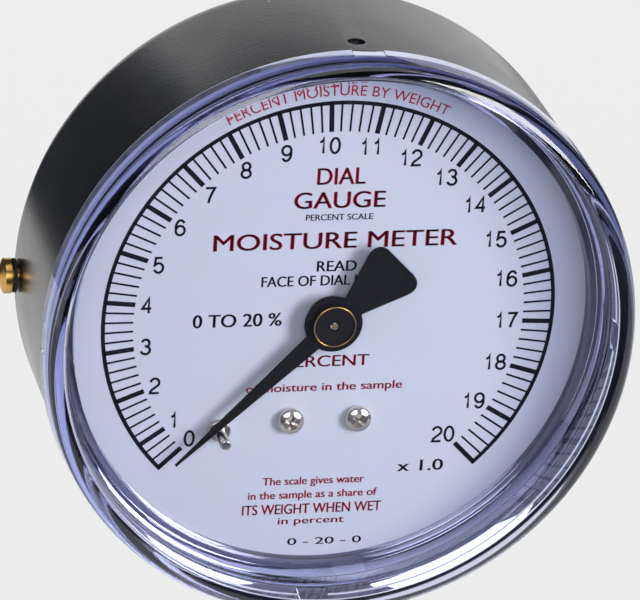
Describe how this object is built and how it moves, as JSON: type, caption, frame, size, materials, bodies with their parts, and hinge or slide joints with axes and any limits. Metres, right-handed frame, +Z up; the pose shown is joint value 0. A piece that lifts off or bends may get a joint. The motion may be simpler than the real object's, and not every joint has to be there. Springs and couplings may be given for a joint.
{
  "type": "moisture meter",
  "caption": "Round dial pressure gauge that reads moisture, with a deep black case, clear screw-on lens, geared Bourdon-tube movement and a threaded connection at the back.",
  "frame": {"origin": "on the gauge's axis at the rear face of the connection's sealing washer, where it seats on a pressure bottle", "axes": "-Y is where the dial faces, +Z is up on the dial (the figure 10), +X is to the reader's right, and +Y is along the connection's thread"},
  "size_m": [0.1045, 0.0714, 0.1016],
  "materials": {
    "black_paint": "satin gloss",
    "brass": "machined",
    "bronze": "drawn",
    "chrome": "polished",
    "clear_plastic": "polished",
    "dial_white": "satin",
    "movement_brass": "machined",
    "nickel": "bright",
    "pointer_black": "matt",
    "polished_steel": "polished",
    "rubber": "matt",
    "zinc_steel": "zinc plated"
  },
  "bodies": {
    "case_body": {"back_plate": "movement_brass", "back_screw_1": "zinc_steel", "back_screw_2": "zinc_steel", "back_screw_3": "zinc_steel", "bourdon_tube": "bronze", "case": "black_paint", "dial": "dial_white", "dial_post_left": "movement_brass", "dial_post_right": "movement_brass", "dial_screw_left": "nickel", "dial_screw_right": "nickel", "front_plate": "movement_brass", "hairspring": "bronze", "hairspring_stud": "movement_brass", "lens": "clear_plastic", "lens_seal": "rubber", "movement_screw_1": "zinc_steel", "movement_screw_2": "zinc_steel", "pillar_1": "movement_brass", "pillar_2": "movement_brass", "pillar_3": "movement_brass", "plate_screw_1": "zinc_steel", "plate_screw_2": "zinc_steel", "plate_screw_3": "zinc_steel", "restrictor": "brass", "side_nut": "chrome", "side_screw": "brass", "side_washer": "rubber", "socket": "brass", "stem_washer": "rubber", "stop_pin": "nickel"},
    "pointer_body": {"pointer": "pointer_black", "pointer_hub": "pointer_black", "pinion_arbor": "polished_steel", "hairspring_collet": "movement_brass"},
    "sector_body": {"sector_gear": "movement_brass", "sector_arbor": "polished_steel", "link_pin_sector": "polished_steel"},
    "link_body": {"link": "polished_steel"},
    "tip_body": {"tube_tip": "bronze", "link_pin_tip": "polished_steel"}
  },
  "joints": [
    {"name": "pointer_turn", "type": "hinge", "parent": "case_body", "child": "pointer_body", "pos_m": [0, -0.0478, 0], "axis": [0, 1, 0], "range_deg": [0, 280], "stiffness_Nm_per_rad": 0.00002, "deforming": ["hairspring"]},
    {"name": "sector_turn", "type": "hinge", "parent": "case_body", "child": "sector_body", "pos_m": [0.01591, -0.0341, -0.01591], "axis": [0, 1, 0], "range_deg": [-35, 0]},
    {"name": "link_swing", "type": "hinge", "parent": "sector_body", "child": "link_body", "pos_m": [0.01991, -0.0328, -0.02284], "axis": [0, 1, 0], "range_deg": [0, 35.8]},
    {"name": "tip_flex", "type": "hinge", "parent": "case_body", "child": "tip_body", "pos_m": [0.0038, -0.023, 0.027], "axis": [0, 1, 0], "range_deg": [-6.4, 0], "deforming": ["bourdon_tube"]}
  ],
  "couplings": [
    {"joint": "sector_turn", "follows": "pointer_turn", "ratio": -0.125},
    {"joint": "link_swing", "follows": "pointer_turn", "ratio": 0.12751},
    {"joint": "tip_flex", "follows": "pointer_turn", "ratio": -0.022785}
  ]
}
